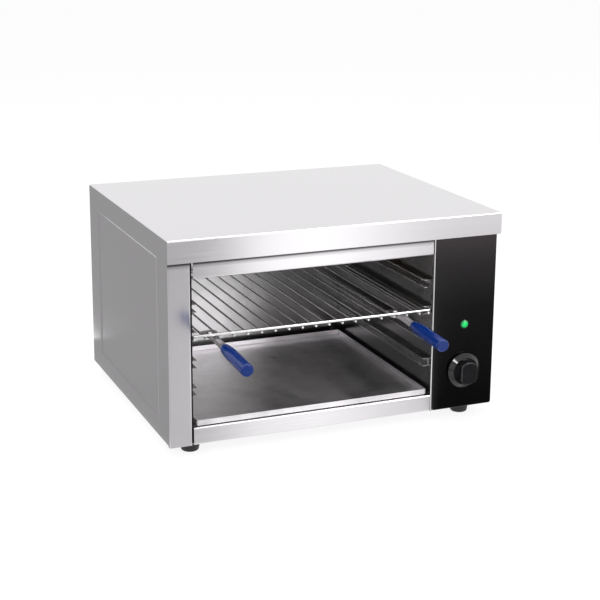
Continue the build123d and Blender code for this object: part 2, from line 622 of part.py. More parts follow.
def element_hanger(x, y):
    """Bent strip under one hairpin, hung from the ceiling between its legs."""
    half = ELEMENT_LEG_SPACING / 2 + ELEMENT_RADIUS + HANGER_SHEET
    low = ELEMENT_Z - ELEMENT_RADIUS - CLOSE_FIT
    strap = block(x - HANGER_WIDTH / 2, x + HANGER_WIDTH / 2, y - half, y + half, low - HANGER_SHEET, low)
    stem = block(x - HANGER_WIDTH / 2, x + HANGER_WIDTH / 2, y - HANGER_SHEET / 2,
                 y + HANGER_SHEET / 2, low - HANGER_SHEET, CEILING)
    pad = block(x - HANGER_WIDTH / 2, x + HANGER_WIDTH / 2, y - HANGER_PAD / 2, y + HANGER_PAD / 2,
                CEILING - HANGER_SHEET, CEILING)
    return strap + stem + pad


for number, y in enumerate(ELEMENT_Y, start=1):
    nodes[f"heating_element_{number}"] = heating_element(y)
HANGER_X = [CAVITY_LEFT + place * CAVITY_WIDTH for place in HANGER_PLACES]
nodes["element_hangers"] = group([element_hanger(x, y) for y in ELEMENT_Y for x in HANGER_X])
nodes["element_collars"] = element_collars()
nodes["element_terminals"] = element_terminals()
nodes["top_insulation"] = block(CAVITY_LEFT + BEND + FIT, CAVITY_RIGHT - BEND - FIT,
                                RETURN + INSULATION_GAP, CAVITY_DEPTH - INSULATION_GAP,
                                CEILING + SHEET, CEILING + SHEET + INSULATION_TOP)
nodes["left_insulation"] = block(LEFT + 2 * SHEET + RECESS_DEPTH + FIT,
                                 CAVITY_LEFT - SHEET - INSULATION_GAP,
                                 POST_RETURN + INSULATION_GAP, CAVITY_DEPTH - INSULATION_GAP,
                                 PAN_TOP + SHEET, CEILING)


# ---------------------------------------------------------------- controls
KNOB_PLANE = Plane(origin=(CONTROL_X, 0, KNOB_Z), x_dir=(1, 0, 0), z_dir=(0, -1, 0))


def turned(points, plane):
    """Turn a section of radius and height points about the plane's normal."""
    section = make_face(Polyline(*points, close=True))
    return plane.location * revolve(Plane.XZ * section, Axis.Z)


def shaft_section(clearance=0.0):
    """D-shaped section of the thermostat shaft."""
    radius = SHAFT_RADIUS + clearance
    flat = SHAFT_FLAT + clearance
    return Circle(radius) - Pos(0, flat + radius) * Rectangle(2 * radius, 2 * radius)


def control_knob():
    rim, inner = SKIRT_GAP + SKIRT_RIM, SKIRT_RADIUS - SKIRT_RING
    dish = SKIRT_GAP + SKIRT_HEIGHT - DISH_DEPTH
    skirt = turned([(0, SKIRT_GAP + KNOB_WALL), (SKIRT_RADIUS - KNOB_WALL, SKIRT_GAP + KNOB_WALL),
                    (SKIRT_RADIUS - KNOB_WALL, SKIRT_GAP), (SKIRT_RADIUS, SKIRT_GAP),
                    (SKIRT_RADIUS, rim), (inner, SKIRT_GAP + SKIRT_HEIGHT), (inner, dish), (0, dish)],
                   KNOB_PLANE)
    base = KNOB_PLANE.offset(dish)
    grip = extrude(base * Circle(KNOB_GRIP_RADIUS), amount=KNOB_LENGTH - dish,
                   taper=KNOB_GRIP_TAPER)
    flats = extrude(base * Rectangle(2 * KNOB_GRIP_FLAT, 3 * KNOB_GRIP_RADIUS), amount=KNOB_LENGTH,
                    taper=KNOB_GRIP_TAPER)
    grip &= flats
    front = grip.faces().sort_by(Axis((CONTROL_X, 0, KNOB_Z), (0, -1, 0)))[-1]
    grip = fillet(front.edges(), KNOB_FACE_RADIUS)
    line = extrude(KNOB_PLANE.offset(KNOB_LENGTH) * Pos(0, KNOB_GRIP_RADIUS * 0.75)
                   * Rectangle(KNOB_LINE_WIDTH, KNOB_GRIP_RADIUS * 0.5), amount=-KNOB_LINE_DEPTH)
    hub = extrude(KNOB_PLANE.offset(SKIRT_GAP) * Circle(SHAFT_RADIUS + KNOB_WALL), amount=KNOB_WALL)
    knob = skirt + grip + hub - line
    bore = extrude(KNOB_PLANE.offset(SKIRT_GAP) * shaft_section(CLOSE_FIT), amount=SHAFT_IN_KNOB)
    return knob - bore


def thermostat_shaft():
    back, front = -(SHEET + THERMOSTAT_PLATE + SHAFT_IN_BODY), SKIRT_GAP + SHAFT_IN_KNOB
    round_part = extrude(KNOB_PLANE.offset(back) * Circle(SHAFT_RADIUS), amount=SKIRT_GAP - back)
    return round_part + extrude(KNOB_PLANE.offset(SKIRT_GAP) * shaft_section(),
                                amount=front - SKIRT_GAP)


def thermostat_body():
    seat = KNOB_PLANE.offset(-SHEET)
    plate = extrude(seat * RectangleRounded(THERMOSTAT_WIDTH, THERMOSTAT_HEIGHT * 0.6, THERMOSTAT_CORNER),
                    amount=-THERMOSTAT_PLATE)
    case = extrude(seat.offset(-THERMOSTAT_PLATE) * Circle(THERMOSTAT_HEIGHT / 2),
                   amount=-THERMOSTAT_DEPTH)
    case += extrude(seat.offset(-THERMOSTAT_PLATE - THERMOSTAT_DEPTH * 0.4)
                    * RectangleRounded(THERMOSTAT_WIDTH, THERMOSTAT_HEIGHT, THERMOSTAT_CORNER),
                    amount=-THERMOSTAT_DEPTH * 0.6)
    for side in (-1, 1):
        tab = seat.offset(-THERMOSTAT_PLATE - THERMOSTAT_DEPTH)
        blade = tab * Pos(side * THERMOSTAT_WIDTH / 4, 0) * Rectangle(TAB_SHEET, TAB_WIDTH)
        case += extrude(blade, amount=-TAB_LENGTH)
    body = plate + case
    body -= extrude(seat * Circle(SHAFT_RADIUS + CLOSE_FIT), amount=-(THERMOSTAT_PLATE + SHAFT_IN_BODY + 1))
    for at in THERMOSTAT_SCREWS:
        body -= hole(at, (0, -1, 0), SHEET + THERMOSTAT_PLATE + 1.5 * THERMOSTAT_SCREW_BITE)
    return body


def pilot_lamp():
    """Barrel behind the fascia, and the domed lens in front of it."""
    seat = Plane(origin=(CONTROL_X, 0, LAMP_Z), x_dir=(1, 0, 0), z_dir=(0, -1, 0))
    dome = LENS_HEIGHT - LENS_STRAIGHT
    barrel = extrude(seat.offset(-LAMP_BARREL_LENGTH) * Circle(LAMP_BARREL_RADIUS),
                     amount=LAMP_BARREL_LENGTH)
    nut = RegularPolygon(LAMP_BARREL_RADIUS + LAMP_NUT_WIDER, 6)
    barrel += extrude(seat.offset(-SHEET - LAMP_NUT) * nut, amount=LAMP_NUT)
    for side in (-1, 1):
        blade = Pos(side * LAMP_TAB_ASIDE, 0) * Rectangle(TAB_SHEET, LAMP_TAB_WIDTH)
        barrel += extrude(seat.offset(-LAMP_BARREL_LENGTH) * blade, amount=-LAMP_TAB_LENGTH)
    ball = (LENS_RADIUS ** 2 + dome ** 2) / (2 * dome)
    lens = extrude(seat * Circle(LENS_RADIUS), amount=LENS_HEIGHT)
    lens &= Pos(CONTROL_X, ball - LENS_HEIGHT, LAMP_Z) * Sphere(ball)
    return barrel, lens


nodes["control_knob"] = control_knob()
nodes["thermostat_shaft"] = thermostat_shaft()
nodes["thermostat_body"] = thermostat_body()
nodes["thermostat_screws"] = group([screw(at, (0, -1, 0), SHEET + THERMOSTAT_PLATE + THERMOSTAT_SCREW_BITE,
                                          head_radius=THERMOSTAT_SCREW_HEAD_RADIUS,
                                          head=THERMOSTAT_SCREW_HEAD)
                                    for at in THERMOSTAT_SCREWS])
nodes["pilot_lamp_barrel"], nodes["pilot_lamp_lens"] = pilot_lamp()


# ---------------------------------------------------------------- supply and sensor
BLOCK_Y = BACK - BLOCK_AHEAD


def terminal_block():
    long = BLOCK_WAYS * BLOCK_PITCH
    body = block(CONTROL_X - long / 2, CONTROL_X + long / 2, BLOCK_Y, BLOCK_Y + BLOCK_DEPTH,
                 PAN_TOP, PAN_TOP + BLOCK_TALL)
    body = fillet(body.edges().filter_by(Axis.X).group_by(Axis.Z)[-1], BLOCK_ROUND)
    for way in range(BLOCK_WAYS):
        x = CONTROL_X + (way - (BLOCK_WAYS - 1) / 2) * BLOCK_PITCH
        for y in (BLOCK_Y + BLOCK_DEPTH / 4, BLOCK_Y + BLOCK_DEPTH * 3 / 4):
            body -= hole((x, y, PAN_TOP + BLOCK_TALL), (0, 0, 1), BLOCK_WELL_DEPTH, BLOCK_SCREW_WELL)
        wire_z = PAN_TOP + BLOCK_TALL / 3
        body -= hole((x, BLOCK_Y, wire_z), (0, -1, 0), BLOCK_DEPTH / 4, BLOCK_WIRE_HOLE)
    return body


def earth_stud():
    seat = Pos(CONTROL_X - STUD_ASIDE, BACK - STUD_AHEAD, PAN_TOP)
    stud = seat * extrude(Circle(STUD_RADIUS), amount=STUD_TALL)
    return stud + seat * extrude(RegularPolygon(STUD_NUT, 6), amount=STUD_NUT_TALL)


def cable_gland():
    """Gland through the back panel: flange and dome outside, thread inside, clear bore."""
    out = Plane(origin=(GLAND_X, BACK + SHEET, GLAND_Z), z_dir=(0, 1, 0))
    body = extrude(out * RegularPolygon(GLAND_RADIUS + GLAND_HEX_WIDER, 6), amount=GLAND_HEX)
    body += extrude(out * Circle(GLAND_RADIUS), amount=GLAND_OUT - SHEET)
    body = fillet(body.edges().group_by(Axis.Y)[-1], GLAND_DOME)
    body += extrude(out * Circle(GLAND_THREAD), amount=-GLAND_INSIDE)
    return body - extrude(out.offset(-GLAND_INSIDE) * Circle(GLAND_BORE), amount=GLAND_LENGTH)


def gland_nut():
    inside = Plane(origin=(GLAND_X, BACK, GLAND_Z), z_dir=(0, -1, 0))
    nut = extrude(inside * RegularPolygon(GLAND_RADIUS + GLAND_HEX_WIDER, 6), amount=NUT_LENGTH)
    return nut - extrude(inside * Circle(GLAND_THREAD + CLOSE_FIT), amount=NUT_LENGTH)


def thermostat_sensor():
    """Bulb under the ceiling, and its capillary through the partition down to the thermostat."""
    bulb_end = CAVITY_RIGHT - SENSOR_SIDE_GAP
    bulb = rod((bulb_end - SENSOR_LENGTH, SENSOR_Y, SENSOR_Z), (bulb_end, SENSOR_Y, SENSOR_Z),
               SENSOR_RADIUS)
    thermostat_back = SHEET + THERMOSTAT_PLATE + THERMOSTAT_DEPTH
    x = CAVITY_RIGHT + CAPILLARY_ASIDE
    turn_y = (SENSOR_Y + thermostat_back) / 2
    route = FilletPolyline((bulb_end, SENSOR_Y, SENSOR_Z), (x, SENSOR_Y, SENSOR_Z),
                           (x, SENSOR_Y, KNOB_Z + CAPILLARY_RISE), (CONTROL_X, turn_y, KNOB_Z),
                           (CONTROL_X, thermostat_back, KNOB_Z), radius=list(CAPILLARY_BENDS))
    tube = sweep(Plane(origin=(bulb_end, SENSOR_Y, SENSOR_Z), z_dir=(1, 0, 0)) * Circle(CAPILLARY_RADIUS),
                 path=route)
    return bulb, tube


def sensor_clips():
    """Bands that hang the sensor bulb from the ceiling."""
    clips = []
    for share in (0.25, 0.75):
        middle = CAVITY_RIGHT - SENSOR_SIDE_GAP - SENSOR_LENGTH * share
        x0, x1 = middle - CLIP_WIDTH / 2, middle + CLIP_WIDTH / 2
        inner = SENSOR_RADIUS + CLOSE_FIT
        ring = rod((x0, SENSOR_Y, SENSOR_Z), (x1, SENSOR_Y, SENSOR_Z), inner + CLIP_SHEET)
        stem = block(x0, x1, SENSOR_Y - CLIP_SHEET / 2, SENSOR_Y + CLIP_SHEET / 2,
                     SENSOR_Z + SENSOR_RADIUS, CEILING)
        pad = block(x0, x1, SENSOR_Y - CLIP_PAD / 2, SENSOR_Y + CLIP_PAD / 2, CEILING - CLIP_SHEET, CEILING)
        bore = rod((x0 - 1, SENSOR_Y, SENSOR_Z), (x1 + 1, SENSOR_Y, SENSOR_Z), inner)
        clips.append(ring + stem + pad - bore)
    return group(clips)


nodes["terminal_block"] = terminal_block()
nodes["earth_stud"] = earth_stud()
nodes["cable_gland"] = cable_gland()
nodes["gland_nut"] = gland_nut()
nodes["sensor_bulb"], nodes["sensor_capillary"] = thermostat_sensor()
nodes["sensor_clips"] = sensor_clips()


# ---------------------------------------------------------------- rack
RACK_Z = GUIDE_Z[RACK_LEVEL - 1] - GUIDE_HEIGHT / 2 + SHEET + FIT      # underside of its side rods
SIDE_ROD_Z = RACK_Z + RACK_ROD / 2
BAR_Z = SIDE_ROD_Z + RACK_ROD - WELD
WIRE_Z = BAR_Z - RACK_ROD / 2 - RACK_WIRE / 2 + WELD
RACK_LEFT = CAVITY_LEFT + SHEET + RACK_SIDE_CLEAR
RACK_RIGHT = CAVITY_RIGHT - SHEET - RACK_SIDE_CLEAR
RACK_BACK = CAVITY_DEPTH - RACK_BACK_GAP
WIRE_PITCH = (CAVITY_WIDTH - 2 * WIRE_EDGE) / (WIRE_COUNT - 1)
WIRE_X = [CAVITY_MIDDLE + (i - (WIRE_COUNT - 1) / 2) * WIRE_PITCH for i in range(WIRE_COUNT)]


def rack_bar(y):
    bar = rod((RACK_LEFT, y, BAR_Z), (RACK_RIGHT, y, BAR_Z), RACK_ROD / 2)
    return chamfer(bar.edges().filter_by(GeomType.CIRCLE), ROD_CHAMFER)


def rack_side_rods():
    rods = []
    for x in (RACK_LEFT + RACK_ROD / 2, RACK_RIGHT - RACK_ROD / 2):
        side = rod((x, RACK_FRONT, SIDE_ROD_Z), (x, RACK_BACK, SIDE_ROD_Z), RACK_ROD / 2)
        rods.append(chamfer(side.edges().filter_by(GeomType.CIRCLE), ROD_CHAMFER))
    return group(rods)


def rack_wires():
    return group([rod((x, RACK_FRONT, WIRE_Z), (x, RACK_BACK, WIRE_Z), RACK_WIRE / 2) for x in WIRE_X])


nodes["rack_front_bar"] = rack_bar(RACK_FRONT + BAR_SETBACK)
nodes["rack_rear_bar"] = rack_bar(RACK_BACK - BAR_SETBACK)
nodes["rack_side_rods"] = rack_side_rods()
nodes["rack_wires"] = rack_wires()


# ---------------------------------------------------------------- rack handles
PLATE_TOP = WIRE_Z - RACK_WIRE / 2
CLAMP_UNDER = WIRE_Z + RACK_WIRE / 2
PLATE_FRONT = RACK_FRONT + BAR_SETBACK + RACK_ROD / 2 + 1.0
HINGE_Y = RACK_FRONT - 1.0
HANDLE_X = {"left": CAVITY_LEFT + HANDLE_FROM_LEFT, "right": CAVITY_RIGHT - HANDLE_FROM_RIGHT}
PLATE_SCREW_Y = PLATE_FRONT + PLATE_LENGTH / 2


def drooped(x, shape):
    """Tip a shape made along -Y, with its root at the origin, down by the handle's droop."""
    return Pos(x, HINGE_Y, PLATE_TOP - PLATE_SHEET) * Rot(X=HANDLE_DROOP) * shape


def handle_shank(x):
    """Plate under the wires that runs forward as an open channel into the grip."""
    plate = block(x - PLATE_WIDTH / 2, x + PLATE_WIDTH / 2, PLATE_FRONT, PLATE_FRONT + PLATE_LENGTH,
                  PLATE_TOP - PLATE_SHEET, PLATE_TOP)
    plate = fillet(plate.edges().filter_by(Axis.Z), PLATE_CORNER)
    neck = block(x - SHANK_WIDTH / 2, x + SHANK_WIDTH / 2, HINGE_Y, PLATE_FRONT + 2,
                 PLATE_TOP - PLATE_SHEET, PLATE_TOP)
    half = SHANK_WIDTH / 2
    section = folded([(-half, SHANK_WALL), (-half, 0), (half, 0), (half, SHANK_WALL)],
                     bend=PLATE_SHEET + 0.5, sheet=PLATE_SHEET)
    channel = along_y(section, -(SHANK_LENGTH + SHANK_IN_GRIP), 0.02)
    shank = plate + neck + drooped(x, channel)
    return shank - hole((x, PLATE_SCREW_Y, PLATE_TOP), (0, 0, 1), 3 * PLATE_SHEET, SCREW_RADIUS)


def handle_clamp(x):
    """Plate that lies on the wires behind the front bar."""
    clamp = block(x - PLATE_WIDTH / 2, x + PLATE_WIDTH / 2, PLATE_FRONT, PLATE_FRONT + PLATE_LENGTH,
                  CLAMP_UNDER, CLAMP_UNDER + PLATE_SHEET)
    clamp = fillet(clamp.edges().filter_by(Axis.Z), PLATE_CORNER)
    return clamp - hole((x, PLATE_SCREW_Y, CLAMP_UNDER), (0, 0, 1), 3 * PLATE_SHEET, SCREW_RADIUS)


def handle_grip(x):
    """Plastic grip: narrow neck, full body, rounded end, and a socket for the shank."""
    section = [(0, 0), (GRIP_NECK_RADIUS - GRIP_NECK_EDGE, 0), (GRIP_NECK_RADIUS, GRIP_NECK_EDGE)]
    rise = GRIP_RADIUS - GRIP_NECK_RADIUS
    edges = [Line(section[0], section[1]), Line(section[1], section[2]),
             Spline(section[2], (GRIP_NECK_RADIUS + 0.72 * rise, GRIP_TAPER * 0.45),
                    (GRIP_RADIUS, GRIP_TAPER), tangents=[(0.25, 1), (0, 1)]),
             Line((GRIP_RADIUS, GRIP_TAPER), (GRIP_RADIUS, GRIP_LENGTH - GRIP_END_RADIUS)),
             RadiusArc((GRIP_RADIUS, GRIP_LENGTH - GRIP_END_RADIUS),
                       (GRIP_RADIUS - GRIP_END_RADIUS, GRIP_LENGTH), -GRIP_END_RADIUS),
             Line((GRIP_RADIUS - GRIP_END_RADIUS, GRIP_LENGTH), (0, GRIP_LENGTH)),
             Line((0, GRIP_LENGTH), (0, 0))]
    turned_grip = revolve(Plane.XZ * make_face([e.edge() for e in edges]), Axis.Z)
    along = Pos(0, -SHANK_LENGTH, SHANK_WALL / 2) * Rot(X=90) * turned_grip
    socket = block(-SHANK_WIDTH / 2 - CLOSE_FIT, SHANK_WIDTH / 2 + CLOSE_FIT,
                   -(SHANK_LENGTH + SHANK_IN_GRIP + CLOSE_FIT), 0, -CLOSE_FIT, SHANK_WALL + CLOSE_FIT)
    return drooped(x, along - socket)


def handle_screws():
    length = CLAMP_UNDER + PLATE_SHEET - (PLATE_TOP - PLATE_SHEET)
    return group([screw((x, PLATE_SCREW_Y, CLAMP_UNDER + PLATE_SHEET), (0, 0, 1), length + PLATE_SCREW_PAST)
                  for x in HANDLE_X.values()])


for side, x in HANDLE_X.items():
    nodes[f"handle_shank_{side}"] = handle_shank(x)
    nodes[f"handle_clamp_{side}"] = handle_clamp(x)
    nodes[f"handle_grip_{side}"] = handle_grip(x)
nodes["handle_screws"] = handle_screws()


# ---------------------------------------------------------------- crumb tray
TRAY_WIDTH = CAVITY_WIDTH - 2 * TRAY_SIDE_GAP
TRAY_DEPTH = CAVITY_DEPTH - TRAY_FRONT - TRAY_BACK_GAP
TRAY_CORNER = 3.0
TRAY_FOLD = 2.0


def crumb_tray():
    """Shallow pan with rounded folds."""
    x0, x1 = CAVITY_MIDDLE - TRAY_WIDTH / 2, CAVITY_MIDDLE + TRAY_WIDTH / 2
    under = FLOOR_TOP + FIT
    pan = block(x0, x1, TRAY_FRONT, TRAY_FRONT + TRAY_DEPTH, under, under + TRAY_WALL)
    pan = fillet(pan.edges().filter_by(Axis.Z), TRAY_CORNER)
    pan = fillet(pan.edges().group_by(Axis.Z)[0], TRAY_FOLD)
    inside = block(x0 + TRAY_SHEET, x1 - TRAY_SHEET, TRAY_FRONT + TRAY_SHEET,
                   TRAY_FRONT + TRAY_DEPTH - TRAY_SHEET, under + TRAY_SHEET, under + TRAY_WALL + 1)
    inside = fillet(inside.edges().filter_by(Axis.Z), TRAY_CORNER - TRAY_SHEET)
    inside = fillet(inside.edges().group_by(Axis.Z)[0], TRAY_FOLD - TRAY_SHEET)
    return pan - inside


nodes["crumb_tray"] = crumb_tray()


# ---------------------------------------------------------------- origin and files
boxes = [shape.bounding_box() for shape in nodes.values()]
SHIFT_Y = -(min(b.min.Y for b in boxes) + max(b.max.Y for b in boxes)) / 2
print("nodes", len(nodes), "shift_y", round(SHIFT_Y, 3))
for name, shape in nodes.items():
    export_step(Pos(0, SHIFT_Y, 0) * shape, f"parts/{name}.step")
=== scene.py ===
import json
import math

import bmesh
import bpy
from mathutils import Matrix, Vector


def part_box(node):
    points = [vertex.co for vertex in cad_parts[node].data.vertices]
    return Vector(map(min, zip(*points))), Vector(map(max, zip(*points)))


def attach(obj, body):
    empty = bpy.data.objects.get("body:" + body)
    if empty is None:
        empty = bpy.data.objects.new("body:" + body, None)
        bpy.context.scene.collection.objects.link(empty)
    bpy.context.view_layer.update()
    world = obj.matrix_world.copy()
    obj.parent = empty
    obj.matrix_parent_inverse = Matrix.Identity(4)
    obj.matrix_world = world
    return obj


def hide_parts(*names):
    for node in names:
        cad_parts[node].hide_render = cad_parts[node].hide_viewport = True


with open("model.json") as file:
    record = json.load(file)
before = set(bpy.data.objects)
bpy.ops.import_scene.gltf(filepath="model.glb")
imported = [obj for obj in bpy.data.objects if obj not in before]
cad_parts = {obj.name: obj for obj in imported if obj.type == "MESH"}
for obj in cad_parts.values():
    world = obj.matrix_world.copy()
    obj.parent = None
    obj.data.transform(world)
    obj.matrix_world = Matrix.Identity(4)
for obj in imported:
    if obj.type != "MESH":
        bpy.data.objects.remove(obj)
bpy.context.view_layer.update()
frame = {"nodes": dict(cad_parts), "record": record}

NODES = frame["nodes"]
SCENE = bpy.context.scene
EYE = Vector((-0.9393, -2.2382, 0.8923))    # where the camera stands

# Places on the casing that finishes and cards need, in metres.
CASING_LOW, CASING_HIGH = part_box("outer_casing")
LIP_DEPTH = 0.038
LIP_EDGE = CASING_HIGH.z - LIP_DEPTH
LIP_SHADOW_HEIGHT = 0.010                            # height of the painted shadow below the lip
PRESS_FRONT, PRESS_BACK = 0.0615, 0.055     # the sides' pressing, from the casing's ends
PRESS_FOOT = 0.034                          # and from its lower edge
PRESS_LOW = CASING_LOW + Vector((0, PRESS_FRONT, PRESS_FOOT))
PRESS_HIGH = Vector((0, CASING_HIGH.y - PRESS_BACK, LIP_EDGE))
PRESS_HIGHLIGHT_UPPER = 0.0035                   # widths of the painted highlights round the pressing
PRESS_HIGHLIGHT_FRONT = 0.003

FACING = 0.5                                # least part of a normal along the axis it faces
FACING_SIDE = 0.7                           # the same for left and right
SEEN_BY = ("Is Camera Ray", "Is Glossy Ray", "Is Transmission Ray")


# ------------------------------------------------------------ shader maths
class Value:
    """A shader socket that takes part in plain sums and products."""

    def __init__(self, owner, socket):
        self.owner, self.socket = owner, socket

    def maths(self, operation, first, second):
        return self.owner.node("Math", {"operation": operation}, {0: first, 1: second})

    def __add__(self, other):
        return self.maths("ADD", self, other)

    def __radd__(self, other):
        return self.maths("ADD", other, self)

    def __sub__(self, other):
        return self.maths("SUBTRACT", self, other)

    def __rsub__(self, other):
        return self.maths("SUBTRACT", other, self)

    def __mul__(self, other):
        return self.maths("MULTIPLY", self, other)

    def __rmul__(self, other):
        return self.maths("MULTIPLY", other, self)

    def __truediv__(self, other):
        return self.maths("DIVIDE", self, other)

    def __gt__(self, other):
        return self.maths("GREATER_THAN", self, other)

    def __lt__(self, other):
        return self.maths("LESS_THAN", self, other)

    def __abs__(self):
        return self.maths("ABSOLUTE", self, 0)


class Nodes:
    """The nodes of a material or of the sky."""

    def __init__(self, tree):
        self.tree = tree
        tree.nodes.clear()

    def node(self, kind, settings=None, values=None, out=0):
        made = self.tree.nodes.new("ShaderNode" + kind)
        for name, value in (settings or {}).items():
            if name == "stops":
                self.stops(made.color_ramp, value)
            else:
                setattr(made, name, value)
        for name, value in (values or {}).items():
            self.feed(made.inputs[name], value)
        return None if out is None else Value(self, made.outputs[out])

    def feed(self, socket, value):
        if isinstance(value, Value):
            self.tree.links.new(value.socket, socket)
        else:
            socket.default_value = value

    def stops(self, ramp, stops):
        while len(ramp.elements) < len(stops):
            ramp.elements.new(0.5)
        for element, (position, level) in zip(ramp.elements, stops):
            element.position = position
            element.color = (level, level, level, 1)

    def larger(self, first, second):
        return self.node("Math", {"operation": "MAXIMUM"}, {0: first, 1: second})

    def seen(self):
        """1 for the rays by which a surface is seen, 0 for those that light others."""
        found = self.node("LightPath", out=SEEN_BY[0])
        for ray in SEEN_BY[1:]:
            found = self.larger(found, self.node("LightPath", out=ray))
        return found


class Finish(Nodes):
    """One surface finish, and the nodes that make it."""

    def __init__(self, name, metallic=0.0, **fixed):
        self.material = bpy.data.materials.new(name)
        self.material.use_nodes = True
        super().__init__(self.material.node_tree)
        self.output = self.tree.nodes.new("ShaderNodeOutputMaterial")
        self.surface = self.tree.nodes.new("ShaderNodeBsdfPrincipled")
        self.tree.links.new(self.surface.outputs[0], self.output.inputs["Surface"])
        self.set("Metallic", metallic)
        for socket, value in fixed.items():
            self.set(socket.replace("_", " "), value)
        self.place = self.node("TexCoord", out="Object")
        self.facing = self.node("TexCoord", out="Normal")

    def set(self, socket, value):
        self.feed(self.surface.inputs[socket], value)

    def axis(self, name, of=None):
        return self.node("SeparateXYZ", None, {0: of or self.place}, out="XYZ".index(name))

    def band(self, name, low, high):
        """1 between two places on an axis, 0 outside them."""
        along = self.axis(name)
        return (along > low) * (along < high)

    def front(self):
        """1 where the surface faces the front."""
        return self.axis("Y", self.facing) < -FACING

    def side(self):
        """1 where the surface faces left or right."""
        return abs(self.axis("X", self.facing)) > FACING_SIDE

    def noise(self, stretch, detail=2.0, rough=0.5, shift=(0, 0, 0)):
        """A noise field from 0 to 1, with so many cells in a metre along each axis."""
        placed = self.node("Mapping", None,
                           {"Vector": self.place, "Scale": stretch, "Location": shift})
        return self.node("TexNoise", None, {"Vector": placed, "Scale": 1.0, "Detail": detail,
                                            "Roughness": rough})

    def ramp(self, value, *stops):
        return self.node("ValToRGB", {"stops": stops}, {0: value})

    def blend(self, factor, first, second):
        """A number between two numbers."""
        return self.node("Mix", {"data_type": "FLOAT"}, {0: factor, 2: first, 3: second})

    def colours(self, factor, first, second):
        """A colour between two colours."""
        return self.node("Mix", {"data_type": "RGBA"}, {0: factor, 6: first, 7: second}, out=2)

    def bump(self, height, strength, distance):
        self.set("Normal", self.node("Bump", None, {"Strength": strength, "Distance": distance,
                                                    "Height": height}))


def rgb(red, green, blue):
    return (red, green, blue, 1.0)


def grey(level, warm=0.0):
    """A grey, or with some warmth a grey that leans towards straw."""
    return rgb(level * (1 + warm), level, level * (1 - warm))


def steel(level):
    """The faint violet cast of bright stainless steel."""
    return rgb(level, level * 0.974, level)


def scaled(colour, share):
    """A darker or lighter shade of a colour."""
    return rgb(*(min(1.0, channel * share) for channel in colour[:3]))


# ------------------------------------------------------------ finishes
# Levels of the casing's sheet: its sides, its top painted darker as shade, and the painted
# highlights on the pressing.
CASING_SHADE, CASING_TOP_PAINTED_SHADE, PRESS_HIGHLIGHT_LEVEL = 0.80, 0.72, 1.0


def painted_lip_shadow(f):
    """The painted shadow below the lip: the front faces painted near black just under it."""
    # painted shadow: darkest just under the lip, fading to the sheet's own colour lower down
    depth = f.ramp((LIP_EDGE - f.axis("Z")) / LIP_SHADOW_HEIGHT,
                   (0.0, 1.0), (0.001, 0.06), (0.24, 0.10), (0.48, 0.62), (1.0, 1.0))
    return f.blend(f.front(), 1.0, depth)


def painted_press_highlights(f):
    """Painted highlights: bright lines where the sides' sheet bends into the pressed rectangle.
    """
    side = f.side()
    upper = (f.band("Z", PRESS_HIGH.z - PRESS_HIGHLIGHT_UPPER, PRESS_HIGH.z)
             * f.band("Y", PRESS_LOW.y, PRESS_HIGH.y))
    front = (f.band("Y", PRESS_LOW.y - PRESS_HIGHLIGHT_FRONT, PRESS_LOW.y)
             * f.band("Z", PRESS_LOW.z, PRESS_HIGH.z))
    return side * f.larger(upper, front)


def casing_painted_light(f):
    """Light and shade painted on the casing: highlights along its pressing, a darker top, and
    the shadow below the lip.
    """
    # painted shade: the top of the same sheet is painted darker than its sides
    top = f.axis("Z", f.facing) > FACING
    plain = f.blend(top, CASING_SHADE, CASING_TOP_PAINTED_SHADE)
    return f.blend(painted_press_highlights(f), plain, PRESS_HIGHLIGHT_LEVEL) * painted_lip_shadow(f)


def brushed(name, level, rough, grain="x", fold=None, shade=None):
    """Brushed sheet, whose grain runs along one axis.

    With a fold, the grain is upright below that height and on the sides. With a shade,
    that function says how bright the sheet is painted from place to place, as light and shade.
    """
    f = Finish(name, metallic=1.0)
    along = {"x": (9, 420, 420), "y": (420, 9, 420), "z": (420, 420, 9)}
    fine = {"x": (30, 1500, 1500), "y": (1500, 30, 1500), "z": (1500, 1500, 30)}
    streak = f.noise(along[grain], 3.0, 0.6)
    hair = f.noise(fine[grain], 2.0, 0.6)
    if fold is not None:
        upright = f.larger(f.side(), f.axis("Z") < fold)
        streak = f.blend(upright, streak, f.noise(along["z"], 3.0, 0.6))
        hair = f.blend(upright, hair, f.noise(fine["z"], 2.0, 0.6))
    cloud = f.noise((5, 5, 5), 2.0)
    handled = f.noise((26, 26, 26), 3.0, 0.55, (3.1, 0.4, 1.7))
    tone = f.ramp(streak * 0.7 + cloud * 0.3, (0.3, 0.0), (0.7, 1.0))
    sheet = f.colours(tone, steel(level * 0.96), steel(min(1.0, level * 1.04)))
    # painted light and shade: the sheet is mixed towards near black where the shade function
    # says
    f.set("Base Color", f.colours(shade(f), grey(0.02), sheet) if shade else sheet)
    f.set("Roughness", rough + (streak - 0.5) * 0.08 + (handled - 0.5) * 0.05)
    f.bump(streak * 0.5 + hair * 0.5, 0.045, 0.00035)
    return f


